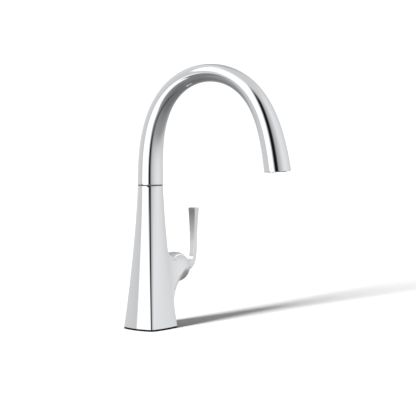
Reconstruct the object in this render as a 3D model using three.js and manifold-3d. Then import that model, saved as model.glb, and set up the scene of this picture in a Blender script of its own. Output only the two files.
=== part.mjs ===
// Pull-down kitchen faucet with a single side lever, in millimetres, +Z up.
// The origin lies on the column's axis at the deck. The spout reaches to -Y, the valve hub to +X.
import * as THREE from 'three';
import { mergeVertices } from 'three/addons/utils/BufferGeometryUtils.js';
import Module from 'manifold-3d';

const wasm = await Module();
wasm.setup();

// ---------- driving dimensions ----------
const gap = 0.3; // between pieces that rest on each other
const degree = Math.PI / 180;

// Column: a soft square at the deck that turns round towards the joint.
const deckChord = 59; // corner to corner along a face, before the corners are rounded
const sideBow = 22.1; // half the arc of the left and right faces at the deck, degrees
const frontBow = 10.6; // the same for the front and back faces
const roundBow = 44.2; // where both bows end, nearly a full circle
const cornerRadius = 5.9; // of the vertical edges at the deck
const bowPower = 1.5; // how late the faces turn round
const taperPower = 1.36; // how the column narrows with height
const gasketThickness = 1.8;
const jointHeight = 218.2;
const jointRadius = 19.2;
const revealHeight = 1.2; // dark groove between column and spout

// Valve hub on the right side.
const hubHeight = 89;
const hubRadius = 23.5;
const hubReach = 58; // from the column's axis to the hub's rim, where the handle pivots
const hubFillet = 26; // depth of the web below the hub, where it meets the column
const capRadius = 22.6; // ball of the handle's cap
const capWall = 2.4;
const flowTravel = 22; // degrees the lever tips out

// Spout and hose.
const spoutReach = 237.7;
const archRise = 200.1; // height of the arch's control polygon above the joint
const tipRise = 25.3; // spout end above the joint
const tipLean = 9.3; // degrees, spout end leaning forward
const tipHandle = 149.1; // length of the curve's last handle
const apexRadius = 12.85;
const apexPlace = 0.525; // fraction of the length at which the spout is thinnest
const tipRadius = 19;
const spoutWall = 2.2;
const hoseRadius = 6.3;

// Spray head.
const headLength = 84;
const shellWall = 1.8;
const toggleWidth = 10;
const toggleLength = 26;

// Deck hardware. The shank is as wide as the hose with a supply stub beside it needs.
const deckThickness = 30;
const shankWall = 1.6;
const shankRoom = 2.1; // left around hose and stub
const shankLength = 70; // below the deck
const tubeRadius = 3.4; // supply stubs
const tubeWall = 0.8;
const shankRadius = hoseRadius + 2 * tubeRadius + shankRoom + shankWall;
const flangeWidth = 6.2; // of the shank's flange in the column, its clearance included
const clampWidth = 11.2; // of the clamp washers, outside the shank

// ---------- materials ----------
const finish = (color, roughness, metalness) =>
  new THREE.MeshStandardMaterial({ color, roughness, metalness });
const chrome = finish(0xdcdfe2, 0.06, 1);
const brass = finish(0xc2a254, 0.35, 1);
const steel = finish(0xa9adb2, 0.35, 1);
const copper = finish(0xb87450, 0.35, 1);
const blackRubber = finish(0x17181a, 0.85, 0);
const greyPlastic = finish(0x55595e, 0.5, 0);
const whitePlastic = finish(0xe4e4e0, 0.45, 0);
const blackPlastic = finish(0x222427, 0.5, 0);
const ceramic = finish(0xf1efe8, 0.3, 0);
const nylonBraid = finish(0x8c9197, 0.6, 0);

// ---------- solids ----------
// The signed volume of an indexed geometry, positive when its faces point out.
function signedVolume(geometry) {
  const at = geometry.attributes.position;
  const index = geometry.index.array;
  const [a, b, c] = [new THREE.Vector3(), new THREE.Vector3(), new THREE.Vector3()];
  let sum = 0;
  for (let i = 0; i < index.length; i += 3) {
    a.fromBufferAttribute(at, index[i]);
    b.fromBufferAttribute(at, index[i + 1]);
    c.fromBufferAttribute(at, index[i + 2]);
    sum += a.dot(b.cross(c)) / 6;
  }
  return sum;
}

// Any closed three.js geometry as a manifold solid with its faces pointing out.
function solid(geometry) {
  const bare = geometry.clone();
  bare.deleteAttribute('normal');
  bare.deleteAttribute('uv');
  const merged = mergeVertices(bare, 1e-4);
  const triVerts = new Uint32Array(merged.index.array);
  if (signedVolume(merged) < 0) triVerts.reverse();
  const vertProperties = merged.attributes.position.array;
  return new wasm.Manifold(new wasm.Mesh({ numProp: 3, vertProperties, triVerts }));
}

// A manifold solid as a three.js geometry.
function geometryOf(shape) {
  const mesh = shape.getMesh();
  const geometry = new THREE.BufferGeometry();
  geometry.setAttribute('position', new THREE.BufferAttribute(mesh.vertProperties, 3));
  geometry.setIndex(new THREE.BufferAttribute(mesh.triVerts, 1));
  return geometry;
}

function part(name, shape, material) {
  const mesh = new THREE.Mesh(geometryOf(shape), material);
  mesh.name = name;
  return mesh;
}

const cutAway = (shape, cutters) => cutters.reduce((left, cutter) => left.subtract(cutter), shape);

// A profile of [radius, z] points turned about Z.
function turned(profile, segments = 24) {
  const points = profile.map(([radius, z]) => new THREE.Vector2(radius, z));
  return solid(new THREE.LatheGeometry(points, segments).rotateX(90 * degree));
}

// A tube or, with no inner radius, a rod between two heights.
function ring(inner, outer, low, high, segments = 24) {
  if (inner === 0) {
    return turned([[0, low], [outer, low], [outer, high], [0, high]], segments);
  }
  return turned([[inner, low], [outer, low], [outer, high], [inner, high], [inner, low]], segments);
}

const rod = (radius, low, high, segments = 12) => ring(0, radius, low, high, segments);

function block(x, y, z) {
  return solid(new THREE.BoxGeometry(x[1] - x[0], y[1] - y[0], z[1] - z[0]).translate(
    (x[0] + x[1]) / 2, (y[0] + y[1]) / 2, (z[0] + z[1]) / 2));
}

// Rings of equal size joined in order. A looped loft comes back to its first ring.
function loft(rings, looped = false) {
  const count = rings[0].length;
  const points = rings.flat();
  const faces = [];
  const spans = looped ? rings.length : rings.length - 1;
  for (let i = 0; i < spans; i += 1) {
    const here = i * count;
    const next = ((i + 1) % rings.length) * count;
    for (let j = 0; j < count; j += 1) {
      const k = (j + 1) % count;
      faces.push(here + j, here + k, next + k, here + j, next + k, next + j);
    }
  }
  if (!looped) {
    for (const [row, flip] of [[0, true], [rings.length - 1, false]]) {
      const centre = new THREE.Vector3();
      rings[row].forEach((point) => centre.addScaledVector(point, 1 / count));
      points.push(centre);
      for (let j = 0; j < count; j += 1) {
        const side = [row * count + j, row * count + ((j + 1) % count)];
        if (flip) side.reverse();
        faces.push(side[0], side[1], points.length - 1);
      }
    }
  }
  return solid(new THREE.BufferGeometry().setFromPoints(points).setIndex(faces));
}

// A round or hollow section drawn along a curve.
function pipe(curve, steps, outer, inner = 0, sides = 10) {
  const shape = new THREE.Shape().absarc(0, 0, outer, 0, 2 * Math.PI);
  if (inner > 0) shape.holes.push(new THREE.Path().absarc(0, 0, inner, 0, 2 * Math.PI, true));
  const options = { steps, curveSegments: sides / 2, extrudePath: curve };
  return solid(new THREE.ExtrudeGeometry(shape, options));
}

// ---------- column ----------
const columnTop = jointHeight - revealHeight / 2;
const columnFoot = gasketThickness + 0.2;

// Half the chord, the two bows and the corner radius of the column's outline at a height.
function columnSection(z) {
  const t = Math.min(1, Math.max(0, z / jointHeight));
  const roundChord = jointRadius * Math.SQRT1_2;
  const bow = (atDeck) => (atDeck + (roundBow - atDeck) * t ** bowPower) * degree;
  return {
    chord: roundChord + (deckChord / 2 - roundChord) * (1 - t) ** taperPower,
    side: bow(sideBow),
    front: bow(frontBow),
    corner: cornerRadius + (0.6 * jointRadius - cornerRadius) * t,
  };
}

// A soft square: four bowed faces and rounded corners, as points around it.
function softSquare({ chord, side, front, corner }, faceSteps, cornerSteps) {
  const sideRadius = chord / Math.sin(side);
  const frontRadius = chord / Math.sin(front);
  const sideCentre = chord - sideRadius * Math.cos(side);
  const frontCentre = chord - frontRadius * Math.cos(front);
  const a = new THREE.Vector2(sideCentre, 0);
  const b = new THREE.Vector2(0, frontCentre);
  const apart = a.distanceTo(b);
  const along = ((sideRadius - corner) ** 2 - (frontRadius - corner) ** 2 + apart ** 2) / (2 * apart);
  const across = Math.sqrt((sideRadius - corner) ** 2 - along ** 2);
  const way = b.clone().sub(a).divideScalar(apart);
  const foot = a.clone().addScaledVector(way, along);
  const upright = new THREE.Vector2(-way.y, way.x);
  const middle = foot.addScaledVector(upright, across);
  const start = Math.atan2(middle.y, middle.x - sideCentre);
  const end = Math.atan2(middle.y - frontCentre, middle.x);
  const quarter = [];
  const arc = (x, y, radius, from, to, steps) => {
    for (let i = 0; i < steps; i += 1) {
      const angle = from + ((to - from) * i) / steps;
      quarter.push([x + radius * Math.cos(angle), y + radius * Math.sin(angle)]);
    }
  };
  arc(sideCentre, 0, sideRadius, 0, start, faceSteps);
  arc(middle.x, middle.y, corner, start, end, cornerSteps);
  arc(0, frontCentre, frontRadius, end, 90 * degree, faceSteps);
  const mirrored = quarter.slice(1).reverse();
  const top = [0, frontCentre + frontRadius];
  return [
    ...quarter,
    top,
    ...mirrored.map(([x, y]) => [-x, y]),
    [-quarter[0][0], 0],
    ...quarter.slice(1).map(([x, y]) => [-x, -y]),
    [0, -top[1]],
    ...mirrored.map(([x, y]) => [x, -y]),
  ];
}

function columnRing(z, trim = 0) {
  const section = columnSection(z);
  section.chord -= trim;
  return softSquare(section, 3, 3).map(([x, y]) => new THREE.Vector3(x, y, z));
}

// One ring of the hub's neck at a distance from the axis: square-edged at the column, round at the rim.
const neckRoot = 20;
const webReach = 28; // from the root, where the web below the hub runs out

function neckRing(x) {
  const away = Math.min(1, Math.max(0, (x - neckRoot) / (hubReach - neckRoot)));
  const squareness = 2 + 1.4 * (1 - away) ** 1.5;
  const web = hubFillet * Math.max(0, 1 - (x - neckRoot) / webReach) ** 2;
  const halfWidth = hubRadius - 5 * Math.max(0, 1 - x / 30);
  const low = hubHeight - hubRadius - Math.min(web, hubFillet);
  const high = hubHeight + hubRadius;
  const steps = 28;
  const bend = (value) => Math.sign(value) * Math.abs(value) ** (2 / squareness);
  return Array.from({ length: steps }, (_, i) => {
    const angle = (2 * Math.PI * i) / steps;
    const y = halfWidth * bend(Math.sin(angle));
    const z = (low + high) / 2 + ((high - low) / 2) * bend(Math.cos(angle));
    return new THREE.Vector3(x, y, z);
  });
}

// Valve bore, turned about the hub's axis: cartridge seat, nut thread and the cup for the cap's ball.
const cartridge = {
  floor: hubReach - 28, seat: hubReach - 17, nutEnd: hubReach - 10.7, bore: 16.2, thread: 18.4,
};
const alongHub = (shape) => shape.rotate([0, 90, 0]).translate([0, 0, hubHeight]);

function valveBore() {
  const cup = capRadius + gap;
  const profile = [[0, cartridge.floor], [cartridge.bore, cartridge.floor]];
  profile.push([cartridge.bore, cartridge.seat], [cartridge.thread, cartridge.seat]);
  profile.push([cartridge.thread, cartridge.nutEnd]);
  for (let angle = 28; angle >= 0; angle -= 7) {
    profile.push([cup * Math.cos(angle * degree), hubReach - cup * Math.sin(angle * degree)]);
  }
  profile.push([cup, hubReach + 4], [0, hubReach + 4]);
  return alongHub(turned(profile, 36));
}

// Swivel seat at the top, hose passage down the middle and the chamber above the shank.
const chamber = { foot: 31, roof: 58, wide: shankRadius + flangeWidth, narrow: 20.5 };
const swivel = { bore: 16.2, foot: 150, shoulder: 160, shoulderTop: 163, shoulderBore: 15.1 };
const hosePassage = hoseRadius + 2.3;

function columnBore() {
  return turned([
    [0, columnFoot - 5], [chamber.wide, columnFoot - 5], [chamber.wide, chamber.foot],
    [chamber.narrow, chamber.foot], [chamber.narrow, chamber.roof], [hosePassage, chamber.roof],
    [hosePassage, swivel.foot - 6], [swivel.bore, swivel.foot], [swivel.bore, swivel.shoulder],
    [swivel.shoulderBore, swivel.shoulder], [swivel.shoulderBore, swivel.shoulderTop],
    [swivel.bore, swivel.shoulderTop], [swivel.bore, columnTop + 5], [0, columnTop + 5],
  ], 24);
}

// The three waterways: up from the chamber's roof and across to the cartridge's floor.
const waterways = [
  { name: 'hot', x: 13.6, y: -8.2, port: -3 },
  { name: 'cold', x: 13.6, y: 8.2, port: -3 },
  { name: 'mixed', x: 15.6, y: 0, port: 7 },
];
const waterwayRadius = 3;
const socketDepth = 6;

function waterwayDrilling({ x, y, port }) {
  const height = hubHeight + port;
  const socket = rod(tubeRadius + gap, chamber.roof - 1, chamber.roof + socketDepth + gap, 12);
  const rise = rod(waterwayRadius, chamber.roof, height + waterwayRadius, 12);
  const across = rod(waterwayRadius, 0, cartridge.floor - x + 1, 12).rotate([0, 90, 0]);
  return socket.add(rise).translate([x, y, 0]).add(across.translate([x, y, height]));
}

function columnBody() {
  const levels = [0, 0.08, 0.16, 0.25, 0.34, 0.43, 0.52, 0.61, 0.7, 0.8, 0.9, 1];
  const rings = levels.map((t) => columnRing(columnFoot + (columnTop - columnFoot) * t));
  const neck = [-0.32, 0, 0.13, 0.26, 0.42, 0.58, 0.79, 1]
    .map((share) => neckRing(neckRoot + share * (hubReach - neckRoot)));
  const casting = loft(rings).add(loft(neck));
  const cutters = [columnBore(), valveBore(), ...waterways.map(waterwayDrilling)];
  return part('column_body', cutAway(casting, cutters), chrome);
}

function deckGasket() {
  const outline = [0, gasketThickness].map((z) => columnRing(z, 0.2));
  const hole = rod(chamber.wide, -1, gasketThickness + 1, 32);
  return part('deck_gasket', loft(outline).subtract(hole), blackRubber);
}

// ---------- spout ----------
const spoutFoot = jointHeight + revealHeight / 2;

// The spout's centreline: a Bezier curve of the sixth degree in the plane x = 0.
class ArchCurve extends THREE.Curve {
  constructor() {
    super();
    const lean = tipLean * degree;
    const end = [spoutReach, jointHeight + tipRise];
    const before = [end[0] - tipHandle * Math.sin(lean), end[1] + tipHandle * Math.cos(lean)];
    const rising = [[0, 0.22], [0, 0.62], [0.062, 1], [0.695, 0.952]];
    const middle = rising.map(([y, z]) => [y * spoutReach, jointHeight + z * archRise]);
    this.control = [[0, spoutFoot], ...middle, before, end];
    this.arcLengthDivisions = 400;
  }

  getPoint(t, target = new THREE.Vector3()) {
    let row = this.control;
    while (row.length > 1) {
      row = row.slice(1).map((b, i) => [
        row[i][0] + (b[0] - row[i][0]) * t,
        row[i][1] + (b[1] - row[i][1]) * t,
      ]);
    }
    return target.set(0, -row[0][0], row[0][1]);
  }
}

const arch = new ArchCurve();
const archLength = arch.getLength();
const dockPlace = 1 - headLength / archLength;

// Outer radius at a fraction of the length: thinnest near the top, swelling to both ends.
function spoutRadius(place) {
  const rising = place < apexPlace;
  const v = Math.abs(place - apexPlace) / (rising ? apexPlace : 1 - apexPlace);
  const slope = rising ? 0.3 : 0.8;
  const swell = v * v * (3 - 2 * v) + slope * (v ** 3 - v ** 2);
  return apexRadius + ((rising ? jointRadius : tipRadius) - apexRadius) * swell;
}

// A circle around the centreline, square to it.
function archRing(place, radius, sides) {
  const centre = arch.getPointAt(place);
  const tangent = arch.getTangentAt(place);
  const across = new THREE.Vector3(1, 0, 0);
  const up = new THREE.Vector3().crossVectors(tangent, across);
  return Array.from({ length: sides }, (_, i) => {
    const angle = (2 * Math.PI * i) / sides;
    const point = centre.clone().addScaledVector(across, radius * Math.cos(angle));
    return point.addScaledVector(up, radius * Math.sin(angle));
  });
}

// A shell that follows the arch between two places, with an inner radius as well as an outer one.
function archShell(from, to, steps, sides, outer, inner) {
  const places = Array.from({ length: steps + 1 }, (_, i) => from + ((to - from) * i) / steps);
  const outside = places.map((place) => archRing(place, outer(place), sides));
  const inside = places.map((place) => archRing(place, inner(place), sides)).reverse();
  return loft([...outside, ...inside], true);
}

function archRod(from, to, steps, sides, outer) {
  const places = Array.from({ length: steps + 1 }, (_, i) => from + ((to - from) * i) / steps);
  return loft(places.map((place) => archRing(place, outer(place), sides)));
}

function spoutTube() {
  const end = dockPlace - gap / 2 / archLength;
  const inner = (place) => spoutRadius(place) - spoutWall;
  return part('spout_tube', archShell(0, end, 28, 22, spoutRadius, inner), chrome);
}

// The sleeve that the spout turns on: a plug in the spout's foot and a neck in the column's bore.
const sleeve = { radius: 14.6, inner: 11.6, foot: 156, plugTop: spoutFoot + 12 };
const clip = { low: 157.3, high: 158.8, groove: 13.4 };
const sealRing = { height: 188, section: 1.1, groove: 13.5 };

function swivelSleeve() {
  const plug = jointRadius - spoutWall - 0.4;
  const profile = [
    [sleeve.inner, sleeve.foot], [sleeve.radius, sleeve.foot], [sleeve.radius, clip.low - gap],
    [clip.groove, clip.low - gap], [clip.groove, clip.high + gap],
    [sleeve.radius, clip.high + gap], [sleeve.radius, sealRing.height - 1.5],
    [sealRing.groove, sealRing.height - 1.5], [sealRing.groove, sealRing.height + 1.5],
    [sleeve.radius, sealRing.height + 1.5], [sleeve.radius, spoutFoot + gap],
    [plug, spoutFoot + gap], [plug, sleeve.plugTop], [sleeve.inner, sleeve.plugTop],
    [sleeve.inner, sleeve.foot],
  ];
  return part('swivel_sleeve', turned(profile), brass);
}

function retainingClip() {
  const outer = swivel.bore - 0.6;
  const inner = clip.groove + gap;
  const shape = new THREE.Shape();
  shape.absarc(0, 0, outer, 20 * degree, 340 * degree);
  shape.absarc(0, 0, inner, 340 * degree, 20 * degree, true);
  const options = { depth: clip.high - clip.low, bevelEnabled: false, curveSegments: 20 };
  const geometry = new THREE.ExtrudeGeometry(shape, options).translate(0, 0, clip.low);
  return part('retaining_clip', solid(geometry), steel);
}

function swivelSeal() {
  const middle = sealRing.groove + gap + sealRing.section;
  const profile = Array.from({ length: 9 }, (_, i) => {
    const angle = (i * 45 + 22.5) * degree;
    const radius = middle + sealRing.section * Math.cos(angle);
    return [radius, sealRing.height + sealRing.section * Math.sin(angle)];
  });
  return part('swivel_o_ring', turned(profile, 20), blackRubber);
}

function wearRings() {
  const inner = sleeve.radius + 0.35;
  const outer = swivel.bore - gap;
  const rings = [['lower_wear_ring', swivel.shoulderTop + gap], ['upper_wear_ring', jointHeight - 14]];
  return rings.map(([name, low]) => part(name, ring(inner, outer, low, low + 8), whitePlastic));
}

function revealRing() {
  const low = columnTop + 0.25;
  return part('reveal_ring', ring(15, jointRadius - 0.9, low, spoutFoot - 0.25, 32), blackPlastic);
}

// A frame on the arch: its local +Z points back up the spout.
function archFrame(place) {
  const group = new THREE.Group();
  group.position.copy(arch.getPointAt(place));
  const back = arch.getTangentAt(place).negate();
  const turn = new THREE.Matrix4().makeBasis(
    new THREE.Vector3(1, 0, 0),
    new THREE.Vector3().crossVectors(back, new THREE.Vector3(1, 0, 0)),
    back,
  );
  group.quaternion.setFromRotationMatrix(turn);
  return group;
}

// ---------- dock ----------
const dock = { bore: hoseRadius + 4.3, length: 9, magnet: 2.5, nutTop: 23 };

function dockParts() {
  const group = archFrame(dockPlace);
  const seat = spoutRadius(dockPlace) - spoutWall - 1.5;
  const magnetLow = dock.length + 0.7;
  group.add(
    part('dock_collar', ring(dock.bore, seat, 0.5, dock.length + 0.4, 24), blackPlastic),
    part('dock_magnet', ring(dock.bore, seat - 0.8, magnetLow, magnetLow + dock.magnet, 24), steel),
  );
  return group;
}

// The docking stem of the head, its steel ring and the hose's nut.
function headTopParts() {
  const group = archFrame(dockPlace);
  const stemRadius = dock.bore - 0.5;
  const bore = 4.5;
  const stem = turned([
    [bore, -5.5], [stemRadius, -5.5], [stemRadius, 9], [stemRadius - 2.4, 10.2],
    [stemRadius - 2.4, 13.2], [bore, 13.2], [bore, -5.5],
  ], 24);
  const nutLow = 13.5;
  const nutRadius = hoseRadius + 1.5;
  const nut = turned([
    [0, nutLow], [nutRadius, nutLow], [nutRadius, nutLow + 6], [hoseRadius + 0.4, dock.nutTop],
    [0, dock.nutTop],
  ], 12);
  group.add(
    part('docking_stem', stem, greyPlastic),
    part('strike_ring', ring(stemRadius - 2.1, stemRadius, 10.5, 13, 24), steel),
    part('hose_swivel_nut', nut, brass),
  );
  return group;
}

// ---------- hose ----------
// From the swivel nut back over the arch and down through the column to below the shank.
const hoseEnd = -(shankLength + 16);

function pullDownHose() {
  const frame = archFrame(dockPlace);
  frame.updateMatrixWorld(true);
  const onDockAxis = (z) => frame.localToWorld(new THREE.Vector3(0, 0, z));
  const places = [0.66, 0.55, 0.44, 0.33, 0.22, 0.1];
  const route = new THREE.CatmullRomCurve3([
    onDockAxis(dock.nutTop + gap),
    onDockAxis(dock.nutTop + 6),
    ...places.map((place) => arch.getPointAt(place)),
    new THREE.Vector3(0, 0, sleeve.plugTop),
    new THREE.Vector3(0, 0, swivel.foot),
    new THREE.Vector3(0, 0, chamber.roof),
    new THREE.Vector3(0, 0, 0),
    new THREE.Vector3(0, 0, hoseEnd),
  ], false, 'centripetal');
  return part('pull_down_hose', pipe(route, 54, hoseRadius), nylonBraid);
}

function hoseTail() {
  const low = hoseEnd - gap;
  const profile = [
    [0, low - 22], [4, low - 22], [4, low - 12], [7, low - 10], [7, low], [0, low],
  ];
  return part('hose_tail_connector', turned(profile, 12), brass);
}

// ---------- spray head ----------
const headPlace = (fromDock) => dockPlace + fromDock / archLength;
const faceDepth = 14; // of the spray face and its insert behind the tip
const toggleMiddle = 36; // from the dock
const pinDepth = 6; // of the toggle's pin below the head's skin
const pinRadius = 1.1;
const spool = { depth: 13, bore: 2.5, radius: 2.1, waist: 1.2, groove: 1.5 };

// The toggle sits on the head's back, towards the column. Local y is out of that back.
function toggleFrame() {
  return archFrame(headPlace(toggleMiddle));
}

function inToggleFrame(shape) {
  const frame = toggleFrame();
  frame.updateMatrix();
  return shape.transform(frame.matrix.toArray());
}

const toggleSkin = spoutRadius(headPlace(toggleMiddle));
const halfToggle = [toggleWidth / 2, toggleLength / 2];
const togglePocket = () => {
  const wide = halfToggle[0] + 0.6;
  const long = halfToggle[1] + 1.2;
  return inToggleFrame(block([-wide, wide], [toggleSkin - 9, toggleSkin + 6], [-long, long]));
};
const pinBore = (radius, half) => inToggleFrame(
  rod(radius, -half, half, 12).rotate([0, 90, 0]).translate([0, toggleSkin - pinDepth, 0]),
);
const onSpoolAxis = (shape) => inToggleFrame(shape.translate([0, toggleSkin - spool.depth, 0]));
// A finger of the rocker reaches through this slot into the spool's groove.
const fingerSlot = () => inToggleFrame(
  block([-1.4, 1.4], [toggleSkin - spool.depth, toggleSkin - 8], [-2.2, 2.2]),
);

function sprayShell() {
  const inner = (place) => spoutRadius(place) - shellWall;
  const start = dockPlace + gap / 2 / archLength;
  const shell = archShell(start, 1, 9, 24, spoutRadius, inner);
  return part('spray_shell', shell.subtract(togglePocket()), chrome);
}

function sprayCore() {
  const outer = (place) => spoutRadius(place) - shellWall - gap;
  const start = headPlace(1.5);
  const end = 1 - (faceDepth + gap) / archLength;
  const body = archRod(start, end, 6, 20, outer);
  const frame = archFrame(dockPlace);
  frame.updateMatrix();
  const stemSocket = rod(dock.bore - 0.2, -5.8, 4, 24).transform(frame.matrix.toArray());
  const waterway = archRod(headPlace(1), 1 - faceDepth / archLength, 5, 8, () => 3.6);
  const cutters = [stemSocket, waterway, togglePocket(), pinBore(pinRadius + gap, 9)];
  cutters.push(onSpoolAxis(rod(spool.bore, -11, 11)), fingerSlot());
  return part('spray_core', cutAway(body, cutters), greyPlastic);
}

// The rocker: a pad cut from the head's skin, with a lug for its pin.
function toggleRocker() {
  const [wide, long] = halfToggle;
  const window = inToggleFrame(block([-wide, wide], [0, toggleSkin + 6], [-long, long]));
  const span = [headPlace(toggleMiddle - 20), headPlace(toggleMiddle + 20)];
  const skin = archRod(...span, 5, 32, (place) => spoutRadius(place) + 0.5);
  const under = archRod(...span, 5, 32, (place) => spoutRadius(place) - 2.4);
  const pad = window.intersect(skin).subtract(under);
  const lug = inToggleFrame(block([-3, 3], [toggleSkin - 8.4, toggleSkin - 1.4], [-3, 3]));
  const fingerTip = toggleSkin - spool.depth + spool.waist + 0.2;
  const finger = inToggleFrame(block([-1, 1], [fingerTip, toggleSkin - 8], [-0.8, 0.8]));
  const rocker = pad.add(lug).add(finger).subtract(pinBore(pinRadius + gap, 12));
  return part('toggle_rocker', rocker, chrome);
}

const togglePin = () => part('toggle_pin', pinBore(pinRadius, 8.4), steel);

function diverterSpool() {
  const { radius, waist, groove } = spool;
  const profile = [
    [0, -7], [radius, -7], [radius, -groove], [waist, -groove], [waist, groove], [radius, groove],
    [radius, 7], [0, 7],
  ];
  return part('diverter_spool', onSpoolAxis(turned(profile, 12)), brass);
}

// The outlet end of the head: spray plate, nozzle pad, aerator and the ring that holds them.
function headOutlet() {
  const group = archFrame(1);
  const seat = spoutRadius(1) - shellWall - 0.5;
  const nozzleRing = 11.4;
  const nozzles = Array.from({ length: 14 }, (_, i) => {
    const angle = (2 * Math.PI * i) / 14;
    const nozzle = turned([[0, -0.4], [0.7, -0.4], [1.1, 1.2], [0, 1.2]], 5);
    return nozzle.translate([nozzleRing * Math.cos(angle), nozzleRing * Math.sin(angle), 0]);
  });
  const pad = nozzles.reduce((sum, nozzle) => sum.add(nozzle), ring(7, 14.4, 0.8, 2.2, 28));
  const plate = turned([
    [6.8, 2.6], [14.6, 2.6], [14.6, 3.2], [seat, 3.2], [seat - 1.2, faceDepth - 0.5],
    [6.8, faceDepth - 0.5], [6.8, 2.6],
  ]);
  group.add(
    part('spray_plate', plate, greyPlastic),
    part('nozzle_pad', pad, blackRubber),
    part('aerator_insert', rod(6.4, 0.6, 9.5, 20), greyPlastic),
    part('face_ring', ring(14.9, seat, 0.5, 2.8, 28), chrome),
  );
  return group;
}

// ---------- valve ----------
// Everything in the hub is drawn about local Z and laid along the hub's axis.
const disc = {
  fixedLow: hubReach - 19.7, fixedHigh: hubReach - 15.8,
  movingLow: hubReach - 15.5, movingHigh: hubReach - 12, movingRadius: 8.5,
};
const carrier = {
  low: hubReach - 11.6, shoulder: hubReach - 8, nose: hubReach + 5,
  flange: 13.6, noseRadius: 10.8, slot: 4.3,
};
const stemArm = 2.6; // radius of the stem's lower arm
const stemEnd = 3.6; // radius of the stem's upper end
const bossFace = 12.6; // from the pivot to the cap's solid end

// Ports through the base, the seal and the fixed disc. Local x is world -z.
function ported(shape, radius) {
  return cutAway(shape, waterways.map(({ y, port }) => {
    const hole = rod(radius, cartridge.floor - 5, cartridge.floor + 15, 12);
    return hole.translate([-port, y, 0]);
  }));
}

const inHub = (name, shape, material) => part(name, alongHub(shape), material);

function cartridgeParts() {
  const floor = cartridge.floor;
  const shell = cartridge.bore - gap;
  const foot = disc.fixedLow + gap;
  const flange = cartridge.seat + 2.2;
  const top = carrier.shoulder + 1.6;
  const housing = turned([
    [14.1, foot], [shell, foot], [shell, cartridge.seat + gap], [17.8, cartridge.seat + gap],
    [17.8, flange], [shell, flange], [shell, top], [11.2, top], [11.2, top - 1.2],
    [14.1, top - 1.2], [14.1, foot],
  ]);
  const thread = cartridge.thread - gap;
  const nut = turned([
    [shell + gap, flange + gap], [thread, flange + gap], [thread, cartridge.nutEnd - gap],
    [thread - 0.9, cartridge.nutEnd + 0.7], [thread - 0.9, top - 1], [shell + gap, top - 1],
    [shell + gap, flange + gap],
  ]);
  const base = rod(15.7, floor + 2.4, disc.fixedLow - gap, 28);
  return [
    inHub('cartridge_seal', ported(rod(15.4, floor + gap, floor + 2.1, 28), 3.2), blackRubber),
    inHub('cartridge_base', ported(base, waterwayRadius), whitePlastic),
    inHub('fixed_ceramic_disc', ported(rod(13, disc.fixedLow, disc.fixedHigh, 28), 2.8), ceramic),
    inHub('cartridge_housing', housing, whitePlastic),
    inHub('cartridge_nut', nut, brass),
  ];
}

function movingDisc() {
  const plate = rod(disc.movingRadius, disc.movingLow, disc.movingHigh, 28);
  const pocket = rod(stemArm + 0.6, disc.movingHigh - 1.8, disc.movingHigh + 1, 16);
  return inHub('moving_ceramic_disc', plate.subtract(pocket), ceramic);
}

const pivotPin = (radius, half) =>
  rod(radius, -half, half, 12).rotate([90, 0, 0]).translate([0, 0, hubReach]);

function stemCarrier() {
  const { low, shoulder, nose, flange, noseRadius, slot } = carrier;
  const body = turned([[0, low], [flange, low], [flange, shoulder], [noseRadius, shoulder],
    [noseRadius, nose], [0, nose]], 28);
  const lowSlot = block([-9.5, 4], [-3.2, 3.2], [low - 1, shoulder + 2]);
  const fork = block([-noseRadius - 1, noseRadius + 1], [-slot, slot], [shoulder + 1.8, nose + 1]);
  const carved = cutAway(body, [lowSlot, fork, pivotPin(1.8, 14)]);
  return inHub('stem_carrier', carved, whitePlastic);
}

const stemPin = () => inHub('stem_pin', pivotPin(1.5, carrier.noseRadius - 0.6), steel);

function cartridgeStem() {
  const arm = rod(stemArm, disc.movingHigh - 1.2, hubReach, 12);
  const bar = block([-3, 3], [-4, 4], [hubReach - 4, hubReach + 11]);
  const end = rod(stemEnd, hubReach + 10, hubReach + bossFace + 6.4, 16);
  const stem = arm.add(bar).add(end).subtract(pivotPin(1.8, 14));
  return inHub('cartridge_stem', stem, brass);
}

// ---------- handle ----------
// Inner and outer outline of the lever in the plane y = 0, from the pivot, and its width.
const leverStations = [
  { inner: [14, 7.2], outer: [14, -7.2], width: 13.5 },
  { inner: [26, 6.6], outer: [27, -7], width: 12 },
  { inner: [33, 6.8], outer: [34.5, -3.8], width: 11 },
  { inner: [37.6, 8.6], outer: [41.4, 1.9], width: 10 },
  { inner: [40.4, 12.8], outer: [45, 9.4], width: 9.6 },
  { inner: [41.3, 21], outer: [46.8, 21], width: 9.4 },
  { inner: [41.6, 46], outer: [47.1, 46], width: 9.4 },
  { inner: [41.3, 69], outer: [48, 69], width: 11 },
  { inner: [40.5, 90], outer: [49.7, 90], width: 13.3 },
];

function leverBlade() {
  const line = (side) => new THREE.CatmullRomCurve3(leverStations.map((station) => station[side]).map(
    ([x, z], i) => new THREE.Vector3(hubReach + x, leverStations[i].width, hubHeight + z)));
  const inner = line('inner');
  const outer = line('outer');
  const bevel = 0.14;
  const corners = [[bevel, -1], [1 - bevel, -1], [1, -1 + 2 * bevel], [1, 1 - 2 * bevel],
    [1 - bevel, 1], [bevel, 1], [0, 1 - 2 * bevel], [0, -1 + 2 * bevel]];
  const steps = 18;
  const rings = Array.from({ length: steps + 1 }, (_, i) => {
    const [a, b] = [inner.getPoint(i / steps), outer.getPoint(i / steps)];
    return corners.map(([depth, side]) => {
      const point = a.clone().lerp(b, depth);
      return point.setY((side * a.y) / 2);
    });
  });
  return loft(rings);
}

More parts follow.
